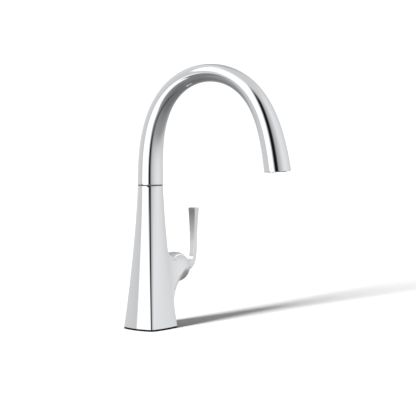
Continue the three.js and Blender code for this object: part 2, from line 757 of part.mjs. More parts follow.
function capShell() {
  const profile = [[0, hubReach + capRadius]];
  const arc = (radius, from, to, step) => {
    for (let angle = from; step > 0 ? angle <= to : angle >= to; angle += step) {
      profile.push([radius * Math.sin(angle * degree), hubReach + radius * Math.cos(angle * degree)]);
    }
  };
  const inner = capRadius - capWall;
  arc(capRadius, 10, 118, 9);
  arc(inner, 118, 58, -15);
  const face = hubReach + bossFace;
  profile.push([Math.sqrt(inner ** 2 - bossFace ** 2), face], [stemEnd + gap, face]);
  profile.push([stemEnd + gap, face + 7], [0, face + 7]);
  return turned(profile, 30);
}

// The skirt's edge leans: deep in the hub at the top and just inside the rim at the bottom, so
// that it stays behind the rim at every tilt of the lever.
function skirtCut() {
  const high = (flowTravel + 2.5) * degree;
  const low = 2 * degree;
  const depth = [capRadius * Math.sin(high), capRadius * Math.sin(low)];
  const spread = [capRadius * Math.cos(high), capRadius * Math.cos(low)];
  const slope = (depth[0] - depth[1]) / (spread[0] + spread[1]);
  const size = 60;
  const cutter = block([-size, size], [-size, size], [-2 * size, 0]);
  const lean = -Math.atan(slope) / degree;
  return cutter.rotate([0, lean, 0]).translate([0, 0, hubReach - depth[1] - spread[1] * slope]);
}

const screwPlace = hubReach + bossFace + 3.6;
const underCap = (shape) => shape.rotate([0, 90, 0]).translate([0, 0, screwPlace]);

function handleParts() {
  const screwHole = underCap(rod(2.3, 2, 30, 12)).add(underCap(rod(3.2, 12.6, 30, 16)));
  const cap = capShell().subtract(skirtCut()).subtract(screwHole);
  const handle = alongHub(cap).add(leverBlade().subtract(
    alongHub(rod(hubRadius - 3, hubReach - 5, hubReach + capRadius - 2.2, 24))));
  const ball = solid(new THREE.SphereGeometry(capRadius - 0.2, 32, 16).translate(0, 0, hubReach));
  const plug = underCap(rod(2.9, 13, 30, 16)).intersect(ball);
  return [
    part('handle_lever', handle, chrome),
    inHub('handle_set_screw', underCap(rod(2, stemEnd + gap, 12.3, 12)), steel),
    inHub('index_plug', plug, greyPlastic),
  ];
}

// ---------- deck hardware ----------
function mountingShank() {
  const inner = shankRadius - shankWall;
  const flange = chamber.wide - 0.4;
  const top = chamber.foot - 0.6;
  const profile = [
    [inner, -shankLength], [shankRadius, -shankLength], [shankRadius, top - 8], [flange, top - 8],
    [flange, top], [inner, top], [inner, -shankLength],
  ];
  return part('mounting_shank', turned(profile), brass);
}

const clampTop = -deckThickness;
const rubberThickness = 3;
const steelThickness = 2.2;
const nutTop = clampTop - rubberThickness - steelThickness - 2 * gap;
const nutHeight = 12;
const screwCircle = shankRadius + 5.2;

function clampWashers() {
  const bore = shankRadius + 0.6;
  const low = clampTop - rubberThickness;
  const steelHigh = low - gap;
  const outer = shankRadius + clampWidth;
  return [
    part('clamp_washer_rubber', ring(bore, outer, low, clampTop), blackRubber),
    part('clamp_washer_steel', ring(bore, outer, steelHigh - steelThickness, steelHigh), steel),
  ];
}

function mountingNut() {
  const hexagon = rod(shankRadius + clampWidth - 0.5, nutTop - nutHeight, nutTop, 6);
  const bore = rod(shankRadius + gap, nutTop - nutHeight - 1, nutTop + 1, 24);
  const holes = [1, -1].map((side) => rod(2.7, nutTop - nutHeight - 1, nutTop + 1, 12)
    .translate([0, side * screwCircle, 0]));
  return part('mounting_nut', cutAway(hexagon, [bore, ...holes]), brass);
}

function jackScrews() {
  return [1, -1].map((side, i) => {
    const low = nutTop - nutHeight - 6;
    const profile = [
      [0, low - 3.2], [4, low - 3.2], [4, low], [2.4, low], [2.4, nutTop], [0, nutTop],
    ];
    const shaft = turned(profile, 12);
    return part(`jack_screw_${i + 1}`, shaft.translate([0, side * screwCircle, 0]), steel);
  });
}

// Supply stubs: from their sockets in the casting, through the shank, then apart below it.
const stubWays = { hot: -50, cold: 50, mixed: 0 };
const stubCircle = shankRadius - shankWall - tubeRadius - 0.6;
const stubSpread = 18;
const stubEnd = -(shankLength + 34);

function stubPoint(name, radius, z) {
  const angle = stubWays[name] * degree;
  return new THREE.Vector3(radius * Math.cos(angle), radius * Math.sin(angle), z);
}

function supplyStub({ name, x, y }) {
  const route = new THREE.CatmullRomCurve3([
    new THREE.Vector3(x, y, chamber.roof + socketDepth),
    new THREE.Vector3(x, y, chamber.roof - 6),
    stubPoint(name, stubCircle, chamber.foot - 2),
    stubPoint(name, stubCircle, -shankLength / 2),
    stubPoint(name, stubCircle, -shankLength + 8),
    stubPoint(name, stubCircle, -shankLength - 6),
    stubPoint(name, stubSpread, stubEnd + 8),
    stubPoint(name, stubSpread, stubEnd),
  ], false, 'centripetal');
  return part(`${name}_supply_stub`, pipe(route, 16, tubeRadius, tubeRadius - tubeWall, 8), copper);
}

function stubFitting({ name }) {
  const high = stubEnd - gap;
  const profile = [
    [2.4, high - 18], [4.8, high - 18], [4.8, high - 9], [6.4, high - 8], [6.4, high], [2.4, high],
    [2.4, high - 18],
  ];
  const place = stubPoint(name, stubSpread, 0);
  const fitting = turned(profile, 12).translate([place.x, place.y, 0]);
  return part(`${name}_fitting`, fitting, brass);
}

function shankSpacer() {
  const radius = shankRadius - shankWall - 0.4;
  const disk = rod(radius, -shankLength, -shankLength + 6, 28);
  const hole = (size, x, y) => rod(size, -shankLength - 1, -shankLength + 7, 16).translate([x, y, 0]);
  const tubes = waterways.map(({ name }) => {
    const place = stubPoint(name, stubCircle, 0);
    return hole(tubeRadius + 0.5, place.x, place.y);
  });
  return part('shank_spacer', cutAway(disk, [hole(hoseRadius + 0.4, 0, 0), ...tubes]), blackPlastic);
}

// ---------- assembly ----------
const faucet = new THREE.Group();
faucet.add(
  columnBody(),
  deckGasket(),
  mountingShank(),
  ...clampWashers(),
  mountingNut(),
  ...jackScrews(),
  shankSpacer(),
  ...waterways.map(supplyStub),
  ...waterways.map(stubFitting),
  ...wearRings(),
  revealRing(),
  swivelSleeve(),
  retainingClip(),
  swivelSeal(),
  spoutTube(),
  dockParts(),
  pullDownHose(),
  hoseTail(),
  headTopParts(),
  sprayShell(),
  sprayCore(),
  toggleRocker(),
  togglePin(),
  diverterSpool(),
  headOutlet(),
  ...cartridgeParts(),
  movingDisc(),
  stemCarrier(),
  stemPin(),
  cartridgeStem(),
  ...handleParts(),
);

export default faucet;
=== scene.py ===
import math

import bmesh
import bpy
import numpy as np
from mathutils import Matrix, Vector


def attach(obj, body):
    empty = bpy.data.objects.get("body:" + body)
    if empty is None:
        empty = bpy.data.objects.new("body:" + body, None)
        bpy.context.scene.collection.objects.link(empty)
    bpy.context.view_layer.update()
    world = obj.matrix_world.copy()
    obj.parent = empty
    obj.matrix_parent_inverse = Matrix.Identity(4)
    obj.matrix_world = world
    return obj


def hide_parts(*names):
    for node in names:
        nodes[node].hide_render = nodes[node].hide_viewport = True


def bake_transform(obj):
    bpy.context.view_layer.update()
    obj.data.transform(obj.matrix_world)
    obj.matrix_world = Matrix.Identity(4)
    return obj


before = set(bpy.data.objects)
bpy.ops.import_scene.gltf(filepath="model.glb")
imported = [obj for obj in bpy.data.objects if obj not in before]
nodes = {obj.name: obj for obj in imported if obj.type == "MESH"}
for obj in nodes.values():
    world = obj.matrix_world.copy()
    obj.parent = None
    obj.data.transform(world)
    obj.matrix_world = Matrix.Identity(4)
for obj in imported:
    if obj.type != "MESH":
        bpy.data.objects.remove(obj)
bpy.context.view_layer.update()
scene = bpy.context.scene


# The studio: a white floor with a soft key light from the left, and a room that only the chrome
# sees. A tall white softbox stands left of the camera with a white panel above it, a black flag
# hides the camera itself, and grey walls close the room.
class Wire:
    """A node socket that adds, subtracts, multiplies and divides like a number."""

    def __init__(self, tree, socket=None):
        self.tree = tree
        self.socket = socket

    def add(self, kind, inputs=None, output=0, stops=None, **settings):
        """Adds a node: first its settings, then the values or links of its sockets."""
        node = self.tree.nodes.new("ShaderNode" + kind)
        for name, value in settings.items():
            setattr(node, name, value)
        if stops:
            points = node.color_ramp.elements
            for place, _ in stops[2:]:
                points.new(place)
            for point, (place, grey) in zip(points, stops):
                point.position = place
                point.color = (grey, grey, grey, 1.0)
        for name, value in (inputs or {}).items():
            if isinstance(value, Wire):
                self.tree.links.new(value.socket, node.inputs[name])
            else:
                node.inputs[name].default_value = value
        return Wire(self.tree, node.outputs[output])

    def maths(self, operation, other=0.0, flipped=False):
        """A Math node of this value and another one; flipped puts the other first."""
        pair = {0: other, 1: self} if flipped else {0: self, 1: other}
        return self.add("Math", pair, operation=operation)

    def __add__(self, other):
        return self.maths("ADD", other)

    def __radd__(self, other):
        return self.maths("ADD", other, True)

    def __sub__(self, other):
        return self.maths("SUBTRACT", other)

    def __rsub__(self, other):
        return self.maths("SUBTRACT", other, True)

    def __mul__(self, other):
        return self.maths("MULTIPLY", other)

    def __rmul__(self, other):
        return self.maths("MULTIPLY", other, True)

    def __truediv__(self, other):
        return self.maths("DIVIDE", other)

    def between(self, low, high):
        """0 below low, 1 above high and a smooth step from one to the other."""
        inputs = {"Value": self, "From Min": low, "From Max": high}
        return self.add("MapRange", inputs, interpolation_type="SMOOTHSTEP")


lens = bpy.data.cameras.new("camera")
lens.lens = 118.37
lens.sensor_width = 36.0
lens.clip_end = 50.0
camera = bpy.data.objects.new("camera", lens)
camera.location = (-1.5605, -1.3647, 0.3159)
camera.rotation_euler = (math.radians(86.338), 0.0, math.radians(-51.245))
scene.collection.objects.link(camera)
scene.camera = camera
scene.view_settings.view_transform = "Standard"


def sun(name, energy):
    """A soft key light from the left. The chrome doesn't mirror it: the softbox stands for it."""
    light = bpy.data.lights.new(name, "SUN")
    light.energy = energy
    light.angle = math.radians(12.0)
    holder = bpy.data.objects.new(name, light)
    holder.rotation_euler = Vector((0.936, -0.035, -0.355)).to_track_quat("-Z", "Y").to_euler()
    holder.visible_glossy = False
    scene.collection.objects.link(holder)
    return holder


sun("key", 2.6)
floor_key = sun("floor_key", 20.0)
lit_floor = bpy.data.collections.new("lit_floor")
floor_key.light_linking.receiver_collection = lit_floor

world = bpy.data.worlds.new("studio")
world.use_nodes = True
world.node_tree.nodes.clear()
scene.world = world
air = Wire(world.node_tree)
toward = air.add("TexCoord", output="Generated")


def along(direction):
    """How far the looked-at direction runs along another one."""
    inputs = {0: toward, 1: direction}
    return air.add("VectorMath", inputs, output="Value", operation="DOT_PRODUCT")


from_camera = along((-0.780, -0.626, 0.0))
from_right = along((0.626, -0.780, 0.0))
azimuth = from_right.maths("ARCTAN2", from_camera) * (180 / math.pi)
elevation = along((0.0, 0.0, 1.0)).maths("ARCSINE") * (180 / math.pi)
# The walls' tones stand at azimuths in degrees: 0 is towards the camera, less is to its left.
wall_tones = [
    (-180, 0.42), (-166, 0.55), (-150, 0.80), (-130, 0.70), (-95, 0.66), (-78, 0.62), (-75, 1.20),
    (-24, 1.20), (-18, 0.85), (-14, 0.40), (-11.5, 0.03), (-9, 0.008), (0, 0.008), (2.5, 0.06),
    (6, 0.34), (11, 0.47), (18, 0.57), (32, 0.68), (50, 0.78), (75, 0.84), (112, 0.76), (150, 0.66),
    (168, 0.55), (180, 0.42),
]
by_lens = azimuth.between(-60, -30) * (1 - azimuth.between(30, 60))
by_lens = by_lens * elevation.between(-1, 8)
spread = (azimuth + 3 * by_lens) * (1 - 0.42 * by_lens)
walls = air.add(
    "ValToRGB", {"Fac": spread / 360 + 0.5},
    stops=[(place / 360 + 0.5, tone) for place, tone in wall_tones],
)
by_softbox = azimuth.between(-84, -75) * (1 - azimuth.between(-28, -20))
by_card = azimuth.between(-90, -84) * (1 - azimuth.between(-73, -69))
by_card = by_card * (1 - elevation.between(-8.5, -3.0))
by_flag = azimuth.between(-14, -9) * (1 - azimuth.between(1, 12))
wall_foot = elevation.between(-22, -1)
box_foot = elevation.between(-28, -18)
wall_seen = wall_foot + by_softbox * (box_foot - wall_foot)
floor_tone = (0.17 + 0.16 * elevation.between(-62, -12)) * (1 - by_flag * 0.6)
sides = floor_tone + wall_seen * (walls - floor_tone)
sides = sides + by_card * (0.22 - sides)
slanted = azimuth + 1.1 * (elevation - 15)
by_panel = slanted.between(-80, -74) * (1 - azimuth.between(-60, -40)) * elevation.between(12, 22)
sides = sides + by_panel * (1.2 - sides)
ceiling_seen = elevation.between(46, 70)
room = sides + ceiling_seen * (0.66 - sides)
to_camera = air.add("LightPath", output="Is Camera Ray")
glow = room + to_camera * (1.1 - room)
sky = air.add("Background", {"Color": (0.985, 0.992, 1.0, 1.0), "Strength": glow})
world_end = world.node_tree.nodes.new("ShaderNodeOutputWorld")
world.node_tree.links.new(sky.socket, world_end.inputs["Surface"])


def mesh_of(name, patches, uv=None, crease=34.0):
    """One mesh from patches of (grid, around, looped, mask), with doubles merged and faces out.

    A grid holds rows of points. Neighbouring rows are joined by four-sided faces; around joins a
    row's last point to its first, looped the last row to the first, and mask keeps chosen faces.
    """
    points = []
    faces = []
    marks = []
    count = 0
    for grid, around, looped, mask in patches:
        rows, columns = grid.shape[:2]
        i, j = np.meshgrid(
            np.arange(rows if looped else rows - 1),
            np.arange(columns if around else columns - 1),
            indexing="ij",
        )
        down = (i + 1) % rows
        right = (j + 1) % columns
        corners = np.stack(
            [i * columns + j, i * columns + right, down * columns + right, down * columns + j], axis=-1
        )
        if uv is not None:
            wide = np.stack([j, j + 1, j + 1, j], axis=-1) / columns
            high = uv[np.stack([i, i, i + 1, i + 1], axis=-1)]
            flat = np.stack([wide, high], axis=-1)
            marks.append(flat.reshape(-1, 2))
        kept = corners.reshape(-1, 4) if mask is None else corners[mask]
        faces.append(kept + count)
        points.append(grid.reshape(-1, 3))
        count += rows * columns
    data = bpy.data.meshes.new(name)
    data.from_pydata(np.concatenate(points), [], np.concatenate(faces).tolist())
    if uv is not None:
        data.uv_layers.new(name="run").data.foreach_set("uv", np.concatenate(marks).ravel())
    work = bmesh.new()
    work.from_mesh(data)
    bmesh.ops.remove_doubles(work, verts=work.verts, dist=2e-6)
    bmesh.ops.recalc_face_normals(work, faces=work.faces)
    work.to_mesh(data)
    work.free()
    data.polygons.foreach_set("use_smooth", np.ones(len(data.polygons), dtype=bool))
    data.set_sharp_from_angle(angle=math.radians(crease))
    piece = bpy.data.objects.new(name, data)
    scene.collection.objects.link(piece)
    return piece


def full_turn(steps):
    """Angles evenly spaced once round, the first at zero."""
    return np.linspace(0, 2 * math.pi, steps + 1)[:-1]


floor_ring = full_turn(64)
floor_grid = np.zeros((2, 64, 3))
floor_grid[1, :, 0] = 9.0 * np.cos(floor_ring)
floor_grid[1, :, 1] = 9.0 * np.sin(floor_ring)
floor = mesh_of("floor", [(floor_grid, True, False, None)])
floor.visible_glossy = False
lit_floor.objects.link(floor)


def bare_material(name):
    """A new material with a Principled surface: the material, that node and a Wire to draw with."""
    material = bpy.data.materials.new(name)
    material.use_nodes = True
    surface = material.node_tree.nodes["Principled BSDF"]
    return material, surface, Wire(material.node_tree)


def noise(wire, scale, detail):
    """Noise over the piece's own coordinates."""
    place = wire.add("TexCoord", output="Object")
    return wire.add("TexNoise", {"Vector": place, "Scale": scale, "Detail": detail})


def plug_in(surface, **wires):
    """Links wires to the surface's sockets; an underscore stands for a space in a socket's name."""
    for name, wire in wires.items():
        wire.tree.links.new(wire.socket, surface.inputs[name.replace("_", " ")])


paint, paint_surface, brush = bare_material("floor_paint")
mottle = noise(brush, 3.0, 2.0)
paint_surface.inputs["Base Color"].default_value = (0.36, 0.36, 0.362, 1.0)
paint_surface.inputs["Specular IOR Level"].default_value = 0.0
plug_in(paint_surface, Roughness=0.9 + 0.05 * mottle)
floor.data.materials.append(paint)


# Polished chrome over brass, on the casting, the spout, the head's shell and the handle. Wiping
# leaves a faint haze in broad patches, and the polish a ripple too small to see by itself.
def chrome(name):
    """Bright metal, hazier where it was wiped."""
    material, surface, wire = bare_material(name)
    wiped = noise(wire, 11.0, 3.0).between(0.42, 0.72)
    surface.inputs["Base Color"].default_value = (0.90, 0.908, 0.922, 1.0)
    surface.inputs["Metallic"].default_value = 1.0
    bump = {"Strength": 0.035, "Distance": 0.0002, "Height": noise(wire, 95.0, 2.0)}
    plug_in(surface, Roughness=0.035 + 0.03 * wiped, Normal=wire.add("Bump", bump))
    return material


polish = chrome("polished_chrome")


def finish_piece(piece, material, body, slot, *stands_for):
    """Gives a piece its material, its body and the nodes it stands for, which it hides; the slot is
    not used.
    """
    piece.data.materials.append(material)
    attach(piece, body)
    if stands_for:
        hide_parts(*stands_for)
    return piece


# The column: one brass casting, a soft square at the deck that turns round towards the joint, with
# the valve's hub grown out of its right side. It is bored through for the hose and for the swivel.
deck_chord = 0.059
side_bow = 22.1
front_bow = 10.6
round_bow = 44.2
corner_radius = 0.0059
joint_height = 0.2182
joint_radius = 0.0192
column_foot = 0.0020
column_top = joint_height - 0.0006
hub_height = 0.089
hub_radius = 0.0235
hub_reach = 0.058
face_steps = 14
corner_steps = 10


def outline(heights, trim):
    """Rows of points round the casting, one row for each height, less a trim.

    Each face is an arc on its chord and each corner an arc that touches both faces. Chord, bows
    and corner radius go from their values at the deck to those of a circle at the joint.
    """
    t = np.clip(heights / joint_height, 0, 1)[:, None]
    round_chord = joint_radius * math.sqrt(0.5)
    chord = round_chord + (deck_chord / 2 - round_chord) * (1 - t) ** 1.36 - trim[:, None]
    side = np.radians(side_bow + (round_bow - side_bow) * t**1.5)
    front = np.radians(front_bow + (round_bow - front_bow) * t**1.5)
    corner = corner_radius + (0.6 * joint_radius - corner_radius) * t
    side_radius = chord / np.sin(side)
    front_radius = chord / np.sin(front)
    side_middle = chord - side_radius * np.cos(side)
    front_middle = chord - front_radius * np.cos(front)
    apart = np.hypot(side_middle, front_middle)
    reach = ((side_radius - corner) ** 2 - (front_radius - corner) ** 2 + apart**2) / (2 * apart)
    rise = np.sqrt((side_radius - corner) ** 2 - reach**2)
    way_x = -side_middle / apart
    way_y = front_middle / apart
    middle_x = side_middle + way_x * reach - way_y * rise
    middle_y = way_y * reach + way_x * rise
    start = np.arctan2(middle_y, middle_x - side_middle)
    end = np.arctan2(middle_y - front_middle, middle_x)
    face = np.arange(face_steps) / face_steps
    bend = np.arange(corner_steps) / corner_steps
    side_arc = start * face
    corner_arc = start + (end - start) * bend
    front_arc = end + (math.pi / 2 - end) * face
    x = np.concatenate([
        side_middle + side_radius * np.cos(side_arc), middle_x + corner * np.cos(corner_arc),
        front_radius * np.cos(front_arc),
    ], axis=1)
    y = np.concatenate([
        side_radius * np.sin(side_arc), middle_y + corner * np.sin(corner_arc),
        front_middle + front_radius * np.sin(front_arc),
    ], axis=1)
    zero = np.zeros_like(t)
    back = front_middle + front_radius
    x = np.concatenate([
        x, zero, -x[:, :0:-1], -x[:, :1], -x[:, 1:], zero, x[:, :0:-1],
    ], axis=1)
    y = np.concatenate([
        y, back, y[:, :0:-1], zero, -y[:, 1:], -back, -y[:, :0:-1],
    ], axis=1)
    return np.stack([x, y, np.broadcast_to(heights[:, None], x.shape)], axis=-1)


web_low = 0.034
web_high = 0.1240
half_window = face_steps + corner_steps
foot_rows = np.linspace(column_foot + 0.0009, web_low, 22)
web_rows = np.linspace(web_low, web_high, 52)
neck_rows = np.linspace(web_high, column_top - 0.0006, 60)
heights = np.concatenate([
    [column_foot], foot_rows, web_rows[1:], neck_rows[1:], [column_top - 0.0002, column_top],
])
trim = np.zeros(len(heights))
trim[0] = 0.0006
trim[-2:] = (0.0001, 0.0003)
skin = outline(heights, trim)
around = skin.shape[1]
first_row = len(foot_rows)
last_row = first_row + len(web_rows) - 1
turn = np.arctan2(skin[-1, :, 1], skin[-1, :, 0])
bore_profile = np.array([
    (0.0162, column_top), (0.0162, 0.1630), (0.0151, 0.1630), (0.0151, 0.1600), (0.0162, 0.1600),
    (0.0162, 0.1500), (0.0086, 0.1440), (0.0086, 0.0580), (0.0205, 0.0580), (0.0205, 0.0310),
    (0.0230, 0.0310), (0.0230, column_foot),
])
bore = np.stack([
    bore_profile[:, :1] * np.cos(turn), bore_profile[:, :1] * np.sin(turn),
    np.broadcast_to(bore_profile[:, 1:], (len(bore_profile), around)),
], axis=-1)
shell = np.concatenate([skin, bore])
open_side = np.ones((len(shell), around), dtype=bool)
window_columns = np.arange(-half_window, half_window) % around
open_side[first_row:last_row, window_columns] = False


web_pull = 0.021
crest_pull = 0.014
top_pull_most = 0.0170
side_pull = 0.018


def unit(vectors):
    """The vectors at length one."""
    return vectors / np.linalg.norm(vectors, axis=-1, keepdims=True)


def smooth(share):
    """A step that is level at both ends: the share squared times three less twice the share."""
    return share * share * (3 - 2 * share)


def neck_edge():
    """The window's edge in order, bottom, back, top and front, with each point's pull into the neck.

    The bottom edge pulls upwards, the top edge downwards and the sides along the faces; towards the
    ends of the sides the pulls are mixed, so that the web below and the crest above run out softly.
    """
    columns = np.arange(-half_window, half_window + 1) % around
    rows = np.arange(first_row, last_row + 1)
    up = unit(skin[1:] - skin[:-1])
    low_pull = up[first_row, columns] * web_pull
    middle = np.clip((half_window - np.abs(np.arange(-half_window, half_window + 1))) / 9, 0, 1)
    top_pull = -up[last_row, columns] * (crest_pull + (top_pull_most - crest_pull) * middle[:, None])
    low = (skin[first_row, columns], low_pull)
    high = (skin[last_row, columns[::-1]], top_pull[::-1])
    sides = []
    for column, step in ((half_window, 1), (-half_window, -1)):
        here = skin[rows, column]
        across = unit(here - skin[rows, column + step]) * side_pull
        from_low = smooth(np.clip((here[:, 2] - web_low) / 0.034, 0, 1))[:, None]
        from_high = np.clip((web_high - here[:, 2]) / 0.022, 0, 1)[:, None]
        pull = (1 - from_low) * up[rows, column] * web_pull + from_low * across
        pull = from_high * pull - (1 - from_high) * up[rows, column] * crest_pull
        sides.append((here, pull))
    back, front = sides
    return [low, back, high, (front[0][::-1], front[1][::-1])]


def neck():
    """The neck from the window's edge to the hub's rim: one cubic curve for every edge point.

    Its first inner control point lies along the edge's pull, its second behind the rim's circle.
    """
    corners = np.radians([106.0, 254.0, 312.0, 408.0, 466.0])
    starts = []
    pulls = []
    angles = []
    for (points, pull), low, high in zip(neck_edge(), corners[:-1], corners[1:]):
        walked = np.linalg.norm(points[1:] - points[:-1], axis=1).cumsum()
        share = np.concatenate([[0.0], walked]) / walked[-1]
        starts.append(points[:-1])
        pulls.append(pull[:-1])
        angles.append((low + (high - low) * share)[:-1])
    start = np.concatenate(starts)
    pull = np.concatenate(pulls)
    angle = np.concatenate(angles)
    rim = np.stack([
        np.full_like(angle, hub_reach), -hub_radius * np.sin(angle),
        hub_height + hub_radius * np.cos(angle),
    ], axis=-1)
    reach = np.where(np.cos(angle) > 0.55, 0.030, np.where(np.cos(angle) < -0.6, 0.020, 0.013))
    reach = np.convolve(np.concatenate([reach[-6:], reach, reach[:6]]), np.ones(13) / 13, "valid")
    arrive = rim - reach[:, None] * np.array([1.0, 0.0, 0.0])
    t = np.linspace(0, 1, 40)[:, None, None]
    surface = (1 - t) ** 3 * start + 3 * t * (1 - t) ** 2 * (start + pull)
    surface = surface + 3 * t**2 * (1 - t) * arrive + t**3 * rim
    return surface, angle


neck_skin, rim_angle = neck()
cup_radius = 0.02336
cup_turn = np.radians(np.linspace(0, 28, 9))
cup_profile = np.concatenate([
    [(hub_radius, hub_reach), (hub_radius - 0.00006, hub_reach + 0.00008)],
    np.stack([cup_radius * np.cos(cup_turn), hub_reach - cup_radius * np.sin(cup_turn)], axis=-1),
    [(0.0184, 0.0473), (0.0184, 0.0410), (0.0162, 0.0410), (0.0162, 0.0300), (0.0, 0.0300)],
])


def about_hub(profile, angle):
    """A profile of (radius, x) turned about the hub's axis; the angle starts at the top."""
    radius = profile[:, :1]
    return np.stack([
        np.broadcast_to(profile[:, 1:], (len(profile), len(angle))), -radius * np.sin(angle),
        hub_height + radius * np.cos(angle),
    ], axis=-1)


casting = mesh_of("column_casting", [
    (shell, True, True, open_side),
    (neck_skin, True, False, None),
    (about_hub(cup_profile, rim_angle), True, False, None),
])
finish_piece(casting, polish, "column", "polished_chrome", "column_body")


# The gasket under the column: black rubber, cut to the casting's foot and pressed on the deck.
def rubber(name):
    """Dull black with a fine grain."""
    material, surface, wire = bare_material(name)
    grain = noise(wire, 900.0, 4.0)
    surface.inputs["Base Color"].default_value = (0.006, 0.006, 0.0063, 1.0)
    surface.inputs["Specular IOR Level"].default_value = 0.15
    bump = {"Strength": 0.3, "Distance": 0.0001, "Height": grain}
    plug_in(surface, Roughness=0.6 + 0.25 * grain, Normal=wire.add("Bump", bump))
    return material


black_rubber = rubber("black_rubber")
lip_heights = np.array([0.0, 0.0003, 0.0015, 0.0018])
lip = outline(lip_heights, np.array([0.0004, 0.0, 0.0, 0.0003]))
lip_turn = np.arctan2(lip[0, :, 1], lip[0, :, 0])
hole = np.stack([0.0242 * np.cos(lip_turn), 0.0242 * np.sin(lip_turn)], axis=-1)
hole = np.stack([np.c_[hole, np.full(around, 0.0018)], np.c_[hole, np.zeros(around)]])
gasket = mesh_of("gasket", [(np.concatenate([lip, hole]), True, True, None)])
finish_piece(gasket, black_rubber, "column", "black_rubber", "deck_gasket")


# The reveal ring: a black plastic washer that leaves a fine dark groove between column and spout.
def turned(name, profile, origin=(0, 0, 0), axis=(0, 0, 1), closed=True):
    """A profile of (radius, height) turned about an axis through the origin given."""
    axis = np.array(axis) / np.linalg.norm(axis)
    side = np.cross(axis, (1.0, 0.0, 0.0)) if abs(axis[0]) < 0.9 else np.cross(axis, (0.0, 1.0, 0.0))
    side = side / np.linalg.norm(side)
    other = np.cross(axis, side)
    angle = full_turn(72)
    profile = np.array(profile)
    ring = np.cos(angle)[:, None] * side + np.sin(angle)[:, None] * other
    grid = profile[:, :1, None] * ring + profile[:, 1:, None] * axis + np.array(origin)
    return mesh_of(name, [(grid, True, closed, None)])


def shade_between(wire, share, low, high):
    """A colour that goes from low to high with the share."""
    mixed = {0: share, 6: (*low, 1.0), 7: (*high, 1.0)}
    return wire.add("Mix", mixed, output=2, data_type="RGBA")


def plastic(name, tone, roughness=0.42):
    """Moulded plastic with a fine grain, a little lighter in clouds."""
    material, surface, wire = bare_material(name)
    grain = noise(wire, 600.0, 3.0)
    light = tuple(min(1.0, value * 1.12) for value in tone)
    shade = shade_between(wire, noise(wire, 40.0, 2.0), tone, light)
    bump = {"Strength": 0.15, "Distance": 0.0001, "Height": grain}
    plug_in(surface, Base_Color=shade, Roughness=roughness + 0.12 * grain,
            Normal=wire.add("Bump", bump))
    return material


black_plastic = plastic("black_plastic", (0.017, 0.018, 0.020))
spout_foot = joint_height + 0.0006
reveal = turned("reveal_washer", [
    (0.0150, column_top + 0.00010), (0.0188, column_top + 0.00010),
    (0.0188, spout_foot - 0.00010), (0.0150, spout_foot - 0.00010),
])
reveal_plastic = plastic("reveal_plastic", (0.060, 0.061, 0.063))
finish_piece(reveal, reveal_plastic, "column", "black_plastic", "reveal_ring")


# The spout: a chromed brass tube bent in one long arch, thinnest past its top and swelling to both
# ends. The head carries its line on to the outlet.
spout_reach = 0.2377
arch_rise = 0.2001
tip_rise = 0.0253
tip_lean = math.radians(9.3)
last_handle = 0.1491
waist_radius = 0.01285
tip_radius = 0.0190
control = np.array(
    [(0.0, spout_foot)]
    + [(y * spout_reach, joint_height + z * arch_rise)
       for y, z in ((0, 0.22), (0, 0.62), (0.062, 1.0), (0.695, 0.952))]
    + [(spout_reach - last_handle * math.sin(tip_lean),
        joint_height + tip_rise + last_handle * math.cos(tip_lean)),
       (spout_reach, joint_height + tip_rise)]
)


def bezier(points, t):
    """The point at t of the curve that these control points pull on, by Bernstein's weights."""
    degree = len(points) - 1
    k = np.arange(degree + 1)
    choose = np.array([math.comb(degree, int(number)) for number in k])
    weight = choose * t[:, None] ** k * (1 - t[:, None]) ** (degree - k)
    return weight @ points


fine = np.linspace(0, 1, 4001)
walked = np.linalg.norm(np.diff(bezier(control, fine), axis=0), axis=1).cumsum()
walked = np.concatenate([[0.0], walked])
arch_length = walked[-1]
head_length = 0.084
dock_run = arch_length - head_length


def on_arch(run):
    """Centre, direction and outward side of the arch at a length along it."""
    t = np.interp(run, walked, fine)
    y, z = bezier(control, t).T
    dy, dz = unit(bezier(np.diff(control, axis=0), t)).T
    zero = np.zeros_like(y)
    centre = np.stack([zero, -y, z], axis=-1)
    ahead = np.stack([zero, -dy, dz], axis=-1)
    outward = np.stack([zero, dz, dy], axis=-1)
    return centre, ahead, outward


def tube_radius(run):
    """Outer radius at a length: least a little past the top, with a smooth swell to each end."""
    place = run / arch_length - 0.525
    rising = place < 0
    v = np.abs(place) / np.where(rising, 0.525, 0.475)
    slope = np.where(rising, 0.3, 0.8)
    swell = smooth(v) + slope * (v**3 - v**2)
    return waist_radius + (np.where(rising, joint_radius, tip_radius) - waist_radius) * swell


def on_skin(run, angle, depth=0.0):
    """A point of the tube's skin by its length, its angle from +X and its depth below the skin."""
    run, angle, depth = np.broadcast_arrays(run, angle, depth)
    centre, _, outward = on_arch(run.ravel())
    radius = (tube_radius(run) - depth)[..., None]
    sideways = np.array([1.0, 0.0, 0.0]) * np.cos(angle)[..., None]
    upward = outward.reshape(*run.shape, 3) * np.sin(angle)[..., None]
    return centre.reshape(*run.shape, 3) + radius * (sideways + upward)


def sleeve(runs, depths):
    """Rings of the tube's skin, one for each length and its depth below the skin."""
    return on_skin(runs[:, None], full_turn(96)[None, :], depths[:, None])


spout_end = dock_run - 0.00002
runs = np.concatenate([[0.0, 0.0002], np.linspace(0.0006, spout_end - 0.0003, 200), [spout_end]])
depths = np.zeros(len(runs))
depths[:2] = (0.0003, 0.0001)
inner_runs = runs[::-4]
runs = np.concatenate([runs, inner_runs])
depths = np.concatenate([depths, np.full(len(inner_runs), 0.0022)])
spout = mesh_of("spout_arch", [(sleeve(runs, depths), True, True, None)])
finish_piece(spout, polish, "spout", "polished_chrome", "spout_tube")


